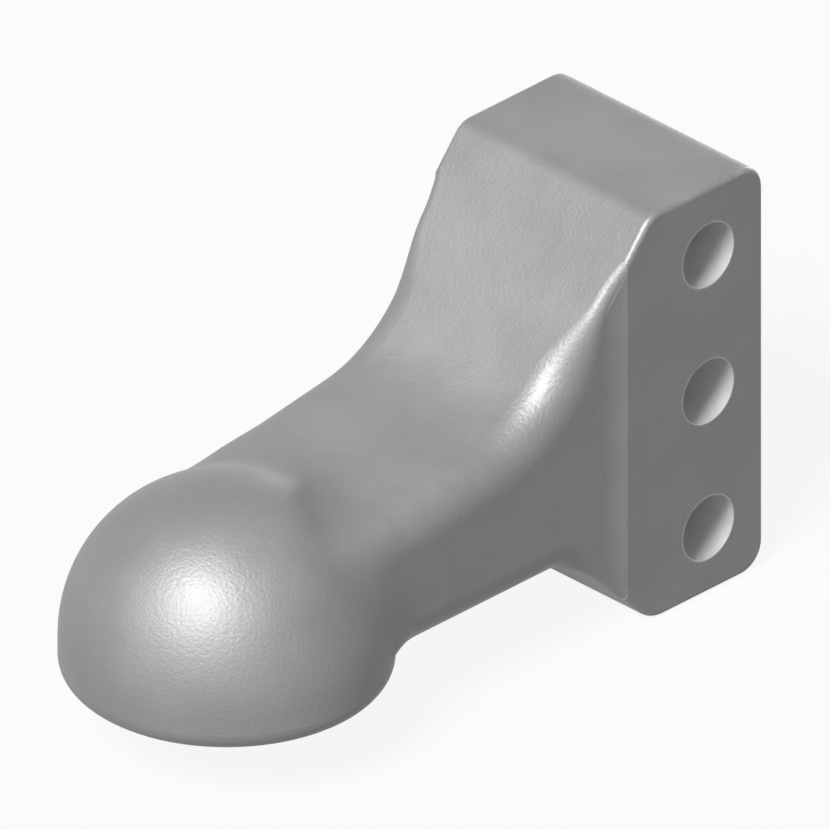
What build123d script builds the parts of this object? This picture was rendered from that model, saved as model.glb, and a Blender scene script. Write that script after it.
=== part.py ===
from build123d import *
import os
from math import acos, asin, cos, radians, sin, sqrt, tan

# A ball coupling head: a dome that drops over a coupling ball, a gooseneck and a block with
# three cross bores. Millimetres. The origin is the ball's centre, -Y is the ball end, the
# bores run along X and +Z is up.

# Dome and socket
ball_diameter = 80.0
ball_clearance = 0.5
dome_wall = 18.5
band_height = 7.1
rim_rounding = 7.5
mouth_chamfer = 2.5
crown_blend = 50.0

# Neck
neck_width = 91.0
neck_underside = 9.5
neck_rounding = 14.25
neck_height = 52.9
brow_margin = 4.3
brow_angle = 4.6
rise_angle = 8.1

# Gooseneck
saddle_bend = 48.0
slope_angle = 50.6
crest_bend = 9.3
belly_bend = 30.0
belly_angle = 47.0
toe_bend = 14.0
waist_rounding = 4.2
brink_rounding = 2.8
heel_rounding = 3.3

# Block
shoulder_step = 1.9
shoulder_bend = 26.2
shoulder_lead = 11.75
block_length = 55.2
block_corner = 10.5
edge_rounding = 2.1

# Cross bores
bore_diameter = 25.0
bore_pitch = 55.0
bore_count = 3
bore_reach = 190.0
lowest_bore_drop = 15.9
wall_above_bores = 27.1
wall_below_bores = 26.1
wall_behind_bores = 27.25

# What follows from them
socket_radius = ball_diameter / 2 + ball_clearance
dome_radius = socket_radius + dome_wall
lowest_bore = -lowest_bore_drop
highest_bore = lowest_bore + (bore_count - 1) * bore_pitch
block_top = highest_bore + wall_above_bores
block_bottom = lowest_bore - wall_below_bores
block_rear = bore_reach + wall_behind_bores
block_front = block_rear - block_length
cheek_front = block_front - shoulder_lead
neck_half = neck_width / 2
block_half = neck_half + shoulder_step
shoulder_run = sqrt(shoulder_step * (2 * shoulder_bend - shoulder_step))
shoulder_front = cheek_front - shoulder_run
underside = -neck_underside
rim_bottom = -(band_height + rim_rounding)
spare = 3.0
overshoot = 0.01
downwards = Vector(0, 0, -1)
sideways = Vector(1, 0, 0)


def ahead(start, angle, distance):
    # The point that lies a distance from the start, in the side view
    return (start[0] + distance * cos(radians(angle)), start[1] + distance * sin(radians(angle)))


def crossing(a, a_angle, b, b_angle):
    # Where two lines meet in the side view
    turn = sin(radians(b_angle - a_angle))
    gap = (b[0] - a[0], b[1] - a[1])
    reach = (gap[0] * sin(radians(b_angle)) - gap[1] * cos(radians(b_angle))) / turn
    return ahead(a, a_angle, reach)


# How far the blend of the dome reaches along the top of the neck
brow_rise = underside + neck_height
brow_depth = brow_rise * cos(radians(brow_angle)) + crown_blend
blend_run = sqrt((dome_radius + crown_blend) ** 2 - brow_depth**2)
brow_reach = blend_run - brow_rise * sin(radians(brow_angle)) + brow_margin

# Points of the side view, as (Y, Z)
brow_start = (0, brow_rise)
crest_corner = (block_front, block_top)
toe_corner = (block_front, block_bottom)
brow_end = ahead(brow_start, brow_angle, brow_reach)
saddle_corner = crossing(brow_end, rise_angle, crest_corner, slope_angle)
saddle_reach = saddle_bend * tan(radians(slope_angle - rise_angle) / 2)
saddle_start = ahead(saddle_corner, rise_angle, -saddle_reach)
slope_start = ahead(saddle_corner, slope_angle, saddle_reach)
slope_end = crossing(slope_start, slope_angle, (cheek_front, 0), 90)
belly_corner = crossing((0, underside), 0, toe_corner, -belly_angle)
belly_reach = belly_bend * tan(radians(belly_angle) / 2)
belly_start = (belly_corner[0] - belly_reach, underside)
belly_end = ahead(belly_corner, -belly_angle, belly_reach)
chin = crossing(belly_end, -belly_angle, (cheek_front, 0), 90)

# The neck and the gooseneck meet along these points, clear of both roundings
upper_joint = ahead(slope_start, slope_angle - 90, neck_rounding + spare)
lower_joint = ahead(belly_start, 90, neck_rounding + spare)

# Where the blend leaves the neck, and where it touches the band of the dome
blend_start = sqrt((dome_radius + crown_blend) ** 2 - (neck_half + crown_blend) ** 2)
blend_sweep = asin(blend_start / (dome_radius + crown_blend))
blend_end = dome_radius * sin(blend_sweep)


def slab(face, half_width):
    # A side view made into a plate across X
    return extrude(Plane.YZ * face, amount=half_width, both=True)


def ring(outline):
    # Half of a front view, drawn from the axis to the -Y side, turned about Z
    return revolve(Plane.YZ * make_face(outline), axis=Axis.Z)


def corner_of(face, corner):
    return face.vertices().sort_by_distance(Vector(*corner))[0]


def side_edges(body, half_width, first, last):
    # The edges round the two flat sides between two distances along Y
    chosen = []
    for edge in body.edges():
        spots = [edge @ share for share in (0, 0.5, 1)]
        on_side = all(abs(abs(spot.X) - half_width) < 0.001 for spot in spots)
        upright = abs(spots[0].Y - spots[2].Y) < 0.001 and abs(spots[1].Y - first) < 0.001
        within = all(first - 0.001 < spot.Y < last + 0.001 for spot in spots)
        if on_side and within and not upright:
            chosen.append(edge)
    return chosen


def corner_cut(corner, profile_normal, side_normal, setback, raised=0):
    # One section, square to the edge, of what a rounding takes off that edge. A raised one
    # ends a hair outside the two faces, so that it crosses curved faces cleanly.
    lean = profile_normal.dot(side_normal)
    spread = tan(acos(lean) / 2)
    depth = (setback + sqrt(2 * raised * setback / spread)) / spread
    radius = depth + raised
    centre = corner - (profile_normal + side_normal) * (depth / (1 + lean))
    on_profile = centre + profile_normal * radius
    on_side = centre + side_normal * radius
    middle = centre + (profile_normal + side_normal).normalized() * radius
    outer = corner + (profile_normal + side_normal) * (spare / (1 + lean))
    sides = [
        Line(on_profile, on_profile + profile_normal * spare),
        Line(on_profile + profile_normal * spare, outer),
        Line(outer, on_side + side_normal * spare),
        Line(on_side + side_normal * spare, on_side),
        ThreePointArc(on_side, middle, on_profile),
    ]
    return Face(Wire([side.edge() for side in sides]))


def side_at(along):
    # Half width and outward normal of the side, where the neck widens into the block
    run = max(along - shoulder_front, 0)
    if along > cheek_front:
        half, normal = side_at(cheek_front)
        return half - (along - cheek_front) * normal.Y / normal.X, normal
    rise = sqrt(shoulder_bend**2 - run**2)
    return neck_half + shoulder_bend - rise, Vector(rise, -run, 0).normalized()


def eased(first, last, share):
    # From the first value to the last, without a kink at either end
    return first + (last - first) * share**2 * (3 - 2 * share)


def setback_at(along, first, last):
    # The rounding shrinks gently up to the shoulder, then evenly up to the block
    if along < shoulder_front:
        return eased(neck_rounding, waist_rounding, max(along - first, 0) / (shoulder_front - first))
    share = min(along - shoulder_front, shoulder_run) / shoulder_run
    return waist_rounding + (last - waist_rounding) * share


def slope_section(along):
    angle = radians(slope_angle)
    height = slope_start[1] + (along - slope_start[0]) * tan(angle)
    half, side_normal = side_at(along)
    setback = setback_at(along, slope_start[0], brink_rounding)
    corner = Vector(half, along, height)
    return corner_cut(corner, Vector(0, -sin(angle), cos(angle)), side_normal, setback)


def belly_section(along):
    run = min(max(along - belly_start[0], 0), belly_end[0] - belly_start[0])
    angle = asin(run / belly_bend)
    height = underside - belly_bend * (1 - cos(angle)) - max(along - belly_end[0], 0) * tan(angle)
    half, side_normal = side_at(along)
    setback = setback_at(along, belly_start[0], heel_rounding)
    corner = Vector(half, along, height)
    return corner_cut(corner, Vector(0, -sin(angle), -cos(angle)), side_normal, setback, overshoot)


def shrinking_cuts(section, first):
    # The cut along the flat side, the cut along the shoulder and their mirror images
    flat = [first + (shoulder_front - first) * step / 8 for step in range(9)]
    shoulder = [shoulder_front + shoulder_run * step / 4 for step in range(5)]
    cuts = [
        loft([section(along) for along in [first - spare] + flat]),
        loft([section(along) for along in shoulder + [cheek_front + spare]]),
    ]
    return cuts + [mirror(cut, about=Plane.YZ) for cut in cuts]


# Dome with a flat underside, to carry the blends into the neck
body = ring(
    Line((0, dome_radius), (0, underside))
    + Line((0, underside), (-dome_radius, underside))
    + Line((-dome_radius, underside), (-dome_radius, 0))
    + CenterArc((0, 0), dome_radius, 90, 90)
)

# Neck, up to the foot of the slopes
neck = slab(
    make_face(
        Polyline((0, underside), belly_start, lower_joint, upper_joint, slope_start)
        + TangentArc(saddle_start, slope_start, tangent=ahead((0, 0), rise_angle, 1))
        + Polyline(saddle_start, brow_end, brow_start, (0, underside))
    ),
    neck_half,
)
long_edges = side_edges(neck, neck_half, 0, slope_start[0])
neck = fillet([edge for edge in long_edges if edge.center().Z > lower_joint[1]], neck_rounding)

# Blend between dome and neck
body += neck
seam = []
for edge in body.edges():
    spot = edge @ 0.5
    on_dome = abs(sqrt(spot.X**2 + spot.Y**2 + max(spot.Z, 0) ** 2) - dome_radius) < 0.01
    if on_dome and spot.Y > 1 and spot.Z > underside + 0.01 and edge.length > 1:
        seam.append(edge)
body = fillet(seam, crown_blend)

# Lower rounding of the neck, which shrinks along the blend to the rounding of the rim
neck_sections = []
for along in (belly_start[0] + spare, blend_start):
    corner = Vector(neck_half, along, underside)
    neck_sections.append(corner_cut(corner, downwards, sideways, neck_rounding, overshoot))
neck_cut = loft(neck_sections)
blend_sections = []
for step in range(9):
    turn = blend_sweep * step / 8
    outward = Vector(cos(turn), sin(turn), 0)
    corner = Vector(neck_half + crown_blend, blend_start, underside) - outward * crown_blend
    setback = eased(neck_rounding, rim_rounding, step / 8)
    blend_sections.append(corner_cut(corner, downwards, outward, setback, overshoot))
past_blend = corner + Vector(outward.Y, -outward.X, 0) * spare
blend_sections.append(corner_cut(past_blend, downwards, outward, rim_rounding, overshoot))
blend_cut = loft(blend_sections)
body -= [neck_cut, blend_cut, mirror(neck_cut, about=Plane.YZ), mirror(blend_cut, about=Plane.YZ)]

# Clear the way for the rounded rim
rim_room = Box(4 * dome_radius, 2 * dome_radius, dome_radius, align=(Align.CENTER, Align.MAX, Align.MAX))
body -= Pos(0, blend_end, -band_height) * rim_room

# Whole dome with its band and rounded rim
body += ring(
    Line((0, dome_radius), (0, rim_bottom))
    + Line((0, rim_bottom), (rim_rounding - dome_radius, rim_bottom))
    + TangentArc((rim_rounding - dome_radius, rim_bottom), (-dome_radius, -band_height), tangent=(-1, 0))
    + Line((-dome_radius, -band_height), (-dome_radius, 0))
    + CenterArc((0, 0), dome_radius, 90, 90)
)

# Gooseneck, from the neck up to the block, with its widening sides
gooseneck = slab(
    make_face(
        Polyline(belly_start, lower_joint, upper_joint, slope_start, slope_end, chin, belly_end)
        + TangentArc(belly_start, belly_end, tangent=(1, 0))
    ),
    block_half,
)
plan = make_face(
    Polyline((-neck_half, shoulder_front), (-neck_half, 0), (neck_half, 0), (neck_half, shoulder_front))
    + TangentArc((neck_half, shoulder_front), (block_half, cheek_front), tangent=(0, 1))
    + Line((block_half, cheek_front), (-block_half, cheek_front))
    + TangentArc((-neck_half, shoulder_front), (-block_half, cheek_front), tangent=(0, 1))
)
gooseneck &= extrude(plan, amount=2 * block_top, both=True)
gooseneck -= shrinking_cuts(slope_section, slope_start[0])
gooseneck -= shrinking_cuts(belly_section, belly_start[0])

# Block
face = make_face(
    Polyline(
        chin,
        toe_corner,
        (block_rear, block_bottom),
        (block_rear, block_top),
        crest_corner,
        slope_end,
        close=True,
    )
)
face = fillet(corner_of(face, toe_corner), toe_bend)
face = fillet(corner_of(face, crest_corner), crest_bend)
face = fillet(corner_of(face, (block_rear, block_bottom)), block_corner)
face = fillet(corner_of(face, (block_rear, block_top)), block_corner)
block = slab(face, block_half)
block = fillet(side_edges(block, block_half, cheek_front, block_rear), edge_rounding)

# One forging
body += gooseneck
body += block

# Cross bores
for number in range(bore_count):
    height = lowest_bore + number * bore_pitch
    body -= Pos(0, bore_reach, height) * Rot(0, 90, 0) * Cylinder(bore_diameter / 2, 4 * block_half)

# Ball socket, with its chamfer drawn on past the mouth
chamfer_start = (-socket_radius, rim_bottom + mouth_chamfer)
chamfer_end = (-socket_radius - mouth_chamfer - spare, rim_bottom - spare)
body -= ring(
    Line((0, socket_radius), (0, rim_bottom - spare))
    + Line((0, rim_bottom - spare), chamfer_end)
    + Line(chamfer_end, chamfer_start)
    + Line(chamfer_start, (-socket_radius, 0))
    + CenterArc((0, 0), socket_radius, 90, 90)
)

coupling_head = body.solids()[0]
coupling_head.label = "coupling_head"
os.makedirs("parts", exist_ok=True)
export_step(coupling_head, "parts/coupling_head.step")
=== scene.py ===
import math

import bpy
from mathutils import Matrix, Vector


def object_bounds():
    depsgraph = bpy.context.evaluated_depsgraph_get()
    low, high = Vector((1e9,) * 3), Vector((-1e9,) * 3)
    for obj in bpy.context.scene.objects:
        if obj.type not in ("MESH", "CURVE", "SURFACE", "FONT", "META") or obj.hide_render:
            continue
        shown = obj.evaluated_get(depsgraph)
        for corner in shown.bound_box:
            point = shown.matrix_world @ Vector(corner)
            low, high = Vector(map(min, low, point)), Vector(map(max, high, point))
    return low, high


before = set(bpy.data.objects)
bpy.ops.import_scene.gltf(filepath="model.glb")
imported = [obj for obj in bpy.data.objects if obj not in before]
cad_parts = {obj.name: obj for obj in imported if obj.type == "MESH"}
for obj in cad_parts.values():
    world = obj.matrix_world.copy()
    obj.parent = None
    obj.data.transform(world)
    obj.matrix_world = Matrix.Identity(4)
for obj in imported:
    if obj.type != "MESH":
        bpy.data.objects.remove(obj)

cadLow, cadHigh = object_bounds()
scene = bpy.context.scene
scene.view_settings.view_transform = "Standard"
print("frame loaded:", sorted(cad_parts))


def freshTree(owner):  # an empty node tree on a material or the world
    owner.use_nodes = True
    owner.node_tree.nodes.clear()
    return owner.node_tree


def put(tree, kind, x, y, **settings):  # one node, with its settings
    node = tree.nodes.new(kind)
    node.location = (x, y)
    for key, value in settings.items():
        setattr(node, key, value)
    return node


def join(tree, *pairs):
    for giver, taker in pairs:
        tree.links.new(giver, taker)


def feed(tree, socket, value):  # a plain number, a colour or another node's output
    if isinstance(value, tuple):
        socket.default_value = (*value, 1.0)
    elif isinstance(value, (int, float)):
        socket.default_value = value
    else:
        tree.links.new(value, socket)


def maths(tree, operation, x, y, *values):
    node = put(tree, "ShaderNodeMath", x, y, operation=operation)
    for index, value in enumerate(values):
        feed(tree, node.inputs[index], value)
    return node.outputs[0]


def mixed(tree, x, y, share, first, second):  # a mix of two colours
    node = put(tree, "ShaderNodeMix", x, y, data_type="RGBA")
    tree.links.new(share, node.inputs["Factor"])
    feed(tree, node.inputs[6], first)
    feed(tree, node.inputs[7], second)
    return node.outputs[2]


def ramp(tree, x, y, value, limits, results=(0.0, 1.0)):  # a smooth change between two limits
    node = put(tree, "ShaderNodeMapRange", x, y, interpolation_type="SMOOTHSTEP")
    tree.links.new(value, node.inputs["Value"])
    for socket, number in zip(("From Min", "From Max", "To Min", "To Max"), (*limits, *results)):
        node.inputs[socket].default_value = number
    return node.outputs["Result"]


def noise(tree, x, y, place, pattern):  # a pattern is a scale, a detail and a roughness
    node = put(tree, "ShaderNodeTexNoise", x, y)
    tree.links.new(place, node.inputs["Vector"])
    for socket, number in zip(("Scale", "Detail", "Roughness"), pattern):
        node.inputs[socket].default_value = number
    return node.outputs["Fac"]


def bump(tree, x, y, height, strength, depth):
    node = put(tree, "ShaderNodeBump", x, y)
    node.inputs["Strength"].default_value = strength
    node.inputs["Distance"].default_value = depth
    tree.links.new(height, node.inputs["Height"])
    return node.outputs[0]


def newGroup(name, takes, gives):  # a shader node group with named sockets
    group = bpy.data.node_groups.new(name, "ShaderNodeTree")
    for label, kind in takes:
        group.interface.new_socket(label, in_out="INPUT", socket_type=kind)
    for label, kind in gives:
        group.interface.new_socket(label, in_out="OUTPUT", socket_type=kind)
    start = put(group, "NodeGroupInput", -1200, 0)
    end = put(group, "NodeGroupOutput", 900, 0)
    return group, start.outputs, end.inputs


def placed(tree, x, y, group, feeds):  # a group in a tree, with what goes into it
    node = put(tree, "ShaderNodeGroup", x, y, node_tree=group)
    for label, value in feeds.items():
        feed(tree, node.inputs[label], value)
    return node.outputs


# Forged skin: a fine grain left by the shot blasting, shallow dents left by the dies
forging = {
    "grain": (760.0, 3.0, 0.6),
    "dents": (75.0, 2.0, 0.5),
    "dentShare": 0.7,
    "clouds": (24.0, 4.0, 0.55),
    "cloudLimits": (0.3, 0.7),
    "specks": (420.0, 2.0, 0.7),
    "speckLimits": (0.6, 0.72),
}

forgedSkin, takes, gives = newGroup(
    "forged skin",
    [("Place", "NodeSocketVector")],
    [("Height", "NodeSocketFloat"), ("Clouds", "NodeSocketFloat"), ("Specks", "NodeSocketFloat")],
)
grain = noise(forgedSkin, -900, 300, takes["Place"], forging["grain"])
dents = noise(forgedSkin, -900, 60, takes["Place"], forging["dents"])
dentPart = maths(forgedSkin, "MULTIPLY", -600, 60, dents, forging["dentShare"])
join(forgedSkin, (maths(forgedSkin, "ADD", -300, 200, grain, dentPart), gives["Height"]))
clouds = noise(forgedSkin, -900, -200, takes["Place"], forging["clouds"])
join(forgedSkin, (ramp(forgedSkin, -600, -200, clouds, forging["cloudLimits"]), gives["Clouds"]))
specks = noise(forgedSkin, -900, -460, takes["Place"], forging["specks"])
join(forgedSkin, (ramp(forgedSkin, -600, -460, specks, forging["speckLimits"]), gives["Specks"]))

# Edge wear: the coat rubs through in patches along an edge; on the block's cheek edges the paler grey it
# lets in is also a painted highlight
rubbing = {
    "patches": (70.0, 3.0, 0.6),
    "patchShare": 0.65,
    "nicks": (420.0, 2.0, 0.6),
    "nickShare": 0.35,
    "limits": (0.42, 0.62),
}

edgeWearAndHighlight, takes, gives = newGroup(
    "edge wear and highlight",
    [("Place", "NodeSocketVector"), ("Edge", "NodeSocketFloat"), ("Amount", "NodeSocketFloat")],
    [("Wear and highlight", "NodeSocketFloat")],
)
patches = noise(edgeWearAndHighlight, -1000, 200, takes["Place"], rubbing["patches"])
nicks = noise(edgeWearAndHighlight, -1000, -100, takes["Place"], rubbing["nicks"])
patchPart = maths(edgeWearAndHighlight, "MULTIPLY", -800, 200, patches, rubbing["patchShare"])
nickPart = maths(edgeWearAndHighlight, "MULTIPLY", -800, -100, nicks, rubbing["nickShare"])
rubbed = maths(edgeWearAndHighlight, "ADD", -600, 100, patchPart, nickPart)
patchy = ramp(edgeWearAndHighlight, -400, 100, rubbed, rubbing["limits"])
onEdge = maths(edgeWearAndHighlight, "MULTIPLY", -160, 60, takes["Edge"], patchy)
join(edgeWearAndHighlight, (maths(edgeWearAndHighlight, "MULTIPLY", 100, 0, onEdge, takes["Amount"]), gives["Wear and highlight"]))

# Tool marks: fine rings along a distance in metres, broken up a little
turning = {
    "ringPitch": 0.0011,
    "stray": (35.0, 2.0, 0.5),
    "strayReach": 0.0018,
    "breaks": (500.0, 2.0, 0.5),
    "breakShare": 1.5,
}

toolMarks, takes, gives = newGroup(
    "tool marks",
    [("Place", "NodeSocketVector"), ("Along", "NodeSocketFloat")],
    [("Height", "NodeSocketFloat")],
)
stray = noise(toolMarks, -900, -200, takes["Place"], turning["stray"])
shift = maths(toolMarks, "MULTIPLY", -640, -200, stray, turning["strayReach"])
shifted = maths(toolMarks, "ADD", -420, 0, takes["Along"], shift)
turns = maths(toolMarks, "MULTIPLY", -200, 0, shifted, 2 * math.pi / turning["ringPitch"])
wave = maths(toolMarks, "SINE", 20, 0, turns)
breaks = noise(toolMarks, -900, -480, takes["Place"], turning["breaks"])
breakPart = maths(toolMarks, "MULTIPLY", 20, -300, breaks, turning["breakShare"])
join(toolMarks, (maths(toolMarks, "ADD", 300, 0, wave, breakPart), gives["Height"]))
print("node groups made")

# Where the finish of the head changes, in metres, and what each finish is
coupling = {
    "boreReach": 0.190,
    "lowestBore": -0.0159,
    "borePitch": 0.055,
    "boreEdge": (0.0126, 0.0128),  # from the bore's axis
    "lipEdge": (0.0128, 0.0136),
    "mouthEdge": (0.0462, 0.0466),  # from the ball's centre
    "cheekEdge": (0.0449, 0.0459),
    "blockFront": (0.15, 0.158),
    "profileTurn": (0.1, 0.4),  # how far the surface has turned from the two kinds of flat face
    "cheekTurn": (0.9, 0.99),
    "coatDark": (0.32, 0.3166, 0.3176),
    "coatPale": (0.371, 0.367, 0.368),
    "speckGrey": (0.3, 0.297, 0.298),
    "speckShare": 0.35,
    "coatMetal": 0.1,
    "coatRoughness": (0.47, 0.54),
    "coatBump": (0.6, 0.00032),  # strength and depth
    # worn grey: real wear round the bore lips, and on the cheek edges also a painted highlight
    "wornAndHighlightGrey": (0.5, 0.493, 0.49),
    "wornSheen": 0.4,
    "edgeRubbingAndHighlight": 0.7,
    "lipRubbing": 0.8,
    # machined grey, paler than real machined steel: partly painted light that lifts the shade in the bores
    # and the socket
    "cutGreyAndPaintedLight": (0.84, 0.835, 0.83),
    "cutMetal": 0.15,
    "cutRoughness": 0.36,
    "cutBump": (0.4, 0.00005),
    "specular": 0.55,
}


def coatedSteel():
    material = bpy.data.materials.new("grey coated forging")
    tree = freshTree(material)
    coordinates = put(tree, "ShaderNodeTexCoord", -2200, 0)
    place = coordinates.outputs["Object"]
    axes = put(tree, "ShaderNodeSeparateXYZ", -2000, 0)
    join(tree, (place, axes.inputs[0]))
    across, along, height = axes.outputs

    # Distance from the nearest bore axis
    behind = maths(tree, "SUBTRACT", -1800, 400, along, coupling["boreReach"])
    raised = maths(tree, "SUBTRACT", -1800, 240, height, coupling["lowestBore"])
    halfPitch = coupling["borePitch"] / 2
    nearest = maths(tree, "WRAP", -1600, 240, raised, halfPitch, -halfPitch)
    behindSquare = maths(tree, "MULTIPLY", -1600, 400, behind, behind)
    nearestSquare = maths(tree, "MULTIPLY", -1600, 80, nearest, nearest)
    squares = maths(tree, "ADD", -1400, 320, behindSquare, nearestSquare)
    boreDistance = maths(tree, "SQRT", -1200, 320, squares)
    inBore = ramp(tree, -1000, 320, boreDistance, coupling["boreEdge"], (1, 0))
    boreLip = ramp(tree, -1000, 60, boreDistance, coupling["lipEdge"], (1, 0))

    # Distance from the ball's centre
    length = put(tree, "ShaderNodeVectorMath", -1800, -300, operation="LENGTH")
    join(tree, (place, length.inputs[0]))
    inSocket = ramp(tree, -1000, -300, length.outputs["Value"], coupling["mouthEdge"], (1, 0))
    machined = maths(tree, "MAXIMUM", -760, 60, inBore, inSocket)

    # The coat, with soft clouds of tone and small specks
    skin = placed(tree, -1400, -700, forgedSkin, {"Place": place})
    clouded = mixed(tree, -760, -500, skin["Clouds"], coupling["coatDark"], coupling["coatPale"])
    speckShare = maths(tree, "MULTIPLY", -560, -760, skin["Specks"], coupling["speckShare"])
    coat = mixed(tree, -360, -560, speckShare, clouded, coupling["speckGrey"])

    # The rounded edges round the block's two cheeks, told by where the surface turns away from them
    turned = put(tree, "ShaderNodeSeparateXYZ", -2000, 900)
    join(tree, (coordinates.outputs["Normal"], turned.inputs[0]))
    facing = maths(tree, "ABSOLUTE", -1800, 900, turned.outputs[0])
    offProfile = ramp(tree, -1600, 1000, facing, coupling["profileTurn"])
    offCheek = ramp(tree, -1600, 800, facing, coupling["cheekTurn"], (1, 0))
    rounded = maths(tree, "MULTIPLY", -1400, 900, offProfile, offCheek)
    sideways = maths(tree, "ABSOLUTE", -1800, 1300, across)
    farOut = ramp(tree, -1600, 1300, sideways, coupling["cheekEdge"])
    onBlock = ramp(tree, -1600, 1150, along, coupling["blockFront"])
    outermost = maths(tree, "MULTIPLY", -1400, 1200, farOut, onBlock)
    blockEdge = maths(tree, "MULTIPLY", -1200, 1000, rounded, outermost)

    # Worn coat on those edges (a painted highlight too on the cheek edges) and round the lips of the bores;
    # bare metal in the bores and the socket, painted paler than machined steel to lift their shade
    edgeFeeds = {"Place": place, "Edge": blockEdge, "Amount": coupling["edgeRubbingAndHighlight"]}
    lipFeeds = {"Place": place, "Edge": boreLip, "Amount": coupling["lipRubbing"]}
    rubbedAndHighlitEdges = placed(tree, -1000, 1000, edgeWearAndHighlight, edgeFeeds)
    rubbedLips = placed(tree, -1000, 840, edgeWearAndHighlight, lipFeeds)
    wearAndHighlight = maths(tree, "MAXIMUM", -760, 960, rubbedAndHighlitEdges["Wear and highlight"], rubbedLips["Wear and highlight"])
    wornAndHighlitCoat = mixed(tree, -360, -260, wearAndHighlight, coat, coupling["wornAndHighlightGrey"])
    wornSheen = maths(tree, "MULTIPLY", -560, -20, wearAndHighlight, coupling["wornSheen"])
    bare = maths(tree, "MAXIMUM", -360, 120, machined, wornSheen)
    colour = mixed(tree, -100, -200, machined, wornAndHighlitCoat, coupling["cutGreyAndPaintedLight"])

    # Relief: skin grain outside, turned rings inside
    boreRings = placed(tree, -760, 700, toolMarks, {"Place": place, "Along": across})
    socketRings = placed(tree, -760, 500, toolMarks, {"Place": place, "Along": height})
    rings = put(tree, "ShaderNodeMix", -360, 600, data_type="FLOAT")
    join(tree, (inSocket, rings.inputs["Factor"]), (boreRings["Height"], rings.inputs[2]),
         (socketRings["Height"], rings.inputs[3]))
    skinRelief = bump(tree, -100, -600, skin["Height"], *coupling["coatBump"])
    cutRelief = bump(tree, -100, 600, rings.outputs[0], *coupling["cutBump"])
    relief = put(tree, "ShaderNodeMix", 160, 300, data_type="VECTOR")
    join(tree, (machined, relief.inputs["Factor"]), (skinRelief, relief.inputs[4]),
         (cutRelief, relief.inputs[5]))

    roughSkin = ramp(tree, -100, -900, skin["Clouds"], (0, 1), coupling["coatRoughness"])
    roughness = put(tree, "ShaderNodeMix", 160, -400, data_type="FLOAT")
    join(tree, (bare, roughness.inputs["Factor"]), (roughSkin, roughness.inputs[2]))
    roughness.inputs[3].default_value = coupling["cutRoughness"]
    metal = ramp(tree, 160, -100, bare, (0, 1), (coupling["coatMetal"], coupling["cutMetal"]))

    surface = put(tree, "ShaderNodeBsdfPrincipled", 460, 0)
    surface.inputs["Specular IOR Level"].default_value = coupling["specular"]
    join(tree, (colour, surface.inputs["Base Color"]), (metal, surface.inputs["Metallic"]),
         (roughness.outputs[0], surface.inputs["Roughness"]), (relief.outputs[1], surface.inputs["Normal"]))
    output = put(tree, "ShaderNodeOutputMaterial", 760, 0)
    join(tree, (surface.outputs[0], output.inputs["Surface"]))
    return material


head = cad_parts["coupling_head"]
finish = coatedSteel()
if not head.material_slots:
    head.data.materials.append(None)
for slotEntry in head.material_slots:
    slotEntry.material = finish
print("coupling head finished")


def backdropMask(tree, x, y):  # 1 where the backdrop is seen, straight, mirrored or through glass
    path = put(tree, "ShaderNodeLightPath", x, y)
    direct = maths(tree, "MAXIMUM", x + 200, y, path.outputs["Is Camera Ray"], path.outputs["Is Glossy Ray"])
    return maths(tree, "MAXIMUM", x + 400, y, direct, path.outputs["Is Transmission Ray"])


# Floor: seen nearly white, with the head's shadow, while it throws little light back. From below it
# is open, so the socket can be seen. The gap keeps it off the block's flat underside.
ground = {
    "gap": 0.0002,
    "size": 60.0,
    "pale": (0.94, 0.94, 0.94),
    "bounce": (0.2, 0.2, 0.2),
    "whiteShare": 0.9,
}

bpy.ops.object.select_all(action="DESELECT")
bpy.ops.mesh.primitive_plane_add(size=ground["size"], location=(0, 0, cadLow.z - ground["gap"]))
floor = bpy.context.object
floor.name = "studio_floor"
paleFloor = bpy.data.materials.new("pale floor")
floorTree = freshTree(paleFloor)
dull = put(floorTree, "ShaderNodeBsdfDiffuse", 0, 200)
feed(floorTree, dull.inputs["Color"], ground["bounce"])
pale = put(floorTree, "ShaderNodeBsdfDiffuse", 0, 0)
feed(floorTree, pale.inputs["Color"], ground["pale"])
glow = put(floorTree, "ShaderNodeEmission", 0, -200)
paleMix = put(floorTree, "ShaderNodeMixShader", 240, -60)
paleMix.inputs[0].default_value = ground["whiteShare"]
floorMix = put(floorTree, "ShaderNodeMixShader", 460, 100)
under = put(floorTree, "ShaderNodeNewGeometry", 460, 400)
clear = put(floorTree, "ShaderNodeBsdfTransparent", 460, -100)
openMix = put(floorTree, "ShaderNodeMixShader", 700, 100)
floorOut = put(floorTree, "ShaderNodeOutputMaterial", 900, 100)
join(floorTree, (pale.outputs[0], paleMix.inputs[1]), (glow.outputs[0], paleMix.inputs[2]),
     (backdropMask(floorTree, -200, 460), floorMix.inputs[0]), (dull.outputs[0], floorMix.inputs[1]),
     (paleMix.outputs[0], floorMix.inputs[2]), (under.outputs["Backfacing"], openMix.inputs[0]),
     (floorMix.outputs[0], openMix.inputs[1]), (clear.outputs[0], openMix.inputs[2]),
     (openMix.outputs[0], floorOut.inputs["Surface"]))
floor.data.materials.append(paleFloor)

# Sky: white where it is seen, dim as a light
heaven = {"lightLevel": 0.03, "seenLevel": 1.0}

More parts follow.
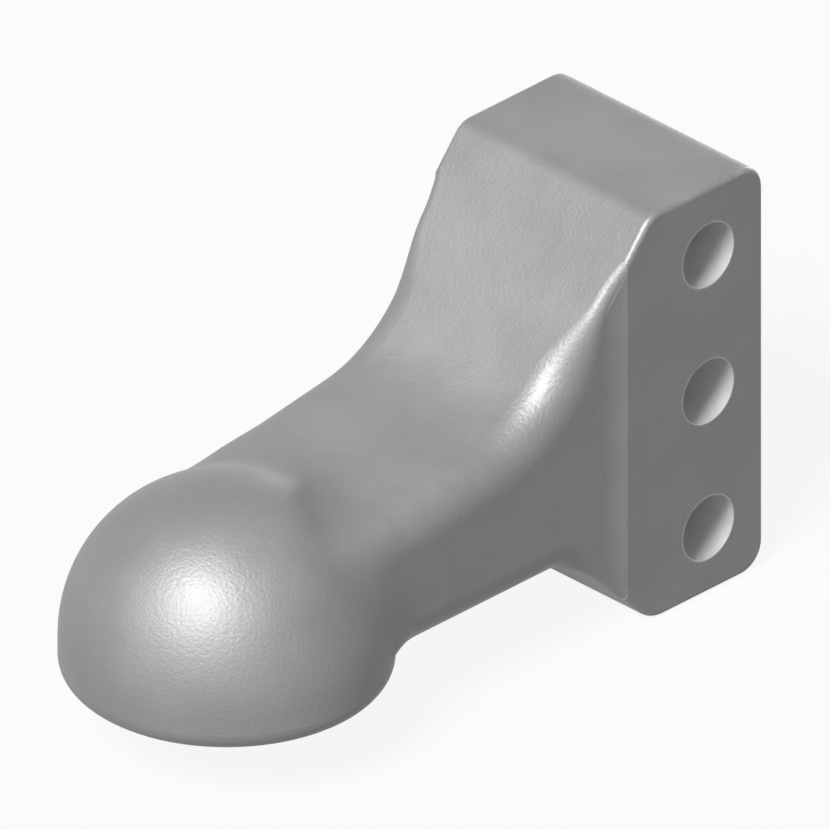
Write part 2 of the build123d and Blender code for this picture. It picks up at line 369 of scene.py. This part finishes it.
sky = bpy.data.worlds.new("plain sky")
scene.world = sky
skyTree = freshTree(sky)
dim = put(skyTree, "ShaderNodeBackground", 0, 100)
dim.inputs["Color"].default_value = (1, 1, 1, 1)
dim.inputs["Strength"].default_value = heaven["lightLevel"]
white = put(skyTree, "ShaderNodeBackground", 0, -100)
white.inputs["Color"].default_value = (1, 1, 1, 1)
white.inputs["Strength"].default_value = heaven["seenLevel"]
skyMix = put(skyTree, "ShaderNodeMixShader", 300, 0)
skyOut = put(skyTree, "ShaderNodeOutputWorld", 500, 0)
join(skyTree, (backdropMask(skyTree, -600, 300), skyMix.inputs[0]), (dim.outputs[0], skyMix.inputs[1]),
     (white.outputs[0], skyMix.inputs[2]), (skyMix.outputs[0], skyOut.inputs["Surface"]))
print("floor and sky ready")

# Lamps: an aim points from the head to its lamp, and a spread is in degrees
lamps = {
    "key": {"aim": (0.186, -0.66, 0.725), "level": 2.35, "spread": 20},
    "fill": {"aim": (0.611, -0.611, 0.503), "level": 0.4, "spread": 60},
    "rear": {"aim": (-0.35, 0.93, 0.05), "level": 1.7, "spread": 20},
}
softbox = {"aim": (0.186, -0.66, 0.725), "distance": 1.6, "size": 0.85, "level": 58.0}
centre = (cadLow + cadHigh) / 2


def hung(name, kind, aim, distance, level):  # a lamp at a distance from the head, turned to it
    towards = Vector(aim).normalized()
    bpy.ops.object.light_add(type=kind, location=centre + towards * distance)
    light = bpy.context.object
    light.name = name
    light.rotation_mode = "QUATERNION"
    light.rotation_quaternion = towards.to_track_quat("Z", "Y")
    light.data.energy = level
    return light


for name, lamp in lamps.items():
    sun = hung(name, "SUN", lamp["aim"], 1.0, lamp["level"])
    sun.data.angle = math.radians(lamp["spread"])
shine = hung("shine", "AREA", softbox["aim"], softbox["distance"], softbox["level"])
shine.data.shape = "DISK"
shine.data.size = softbox["size"]
shine.visible_diffuse = False  # it draws the highlights alone
print("lamps placed")

# The photograph is a parallel view: 830 pixels cover 289.3 mm
lens = {"azimuth": 45.0, "rise": 30.2, "width": 0.2893, "aim": (0.0, 0.09284, 0.05007), "distance": 2.0}
turn = math.radians(lens["azimuth"])
rise = math.radians(lens["rise"])
back = Vector((math.sin(turn) * math.cos(rise), -math.cos(turn) * math.cos(rise), math.sin(rise)))
bpy.ops.object.camera_add(location=Vector(lens["aim"]) + back * lens["distance"])
camera = bpy.context.object
camera.name = "camera"
camera.rotation_mode = "QUATERNION"
camera.rotation_quaternion = back.to_track_quat("Z", "Y")
camera.data.type = "ORTHO"
camera.data.ortho_scale = lens["width"]
scene.camera = camera
print("camera placed")
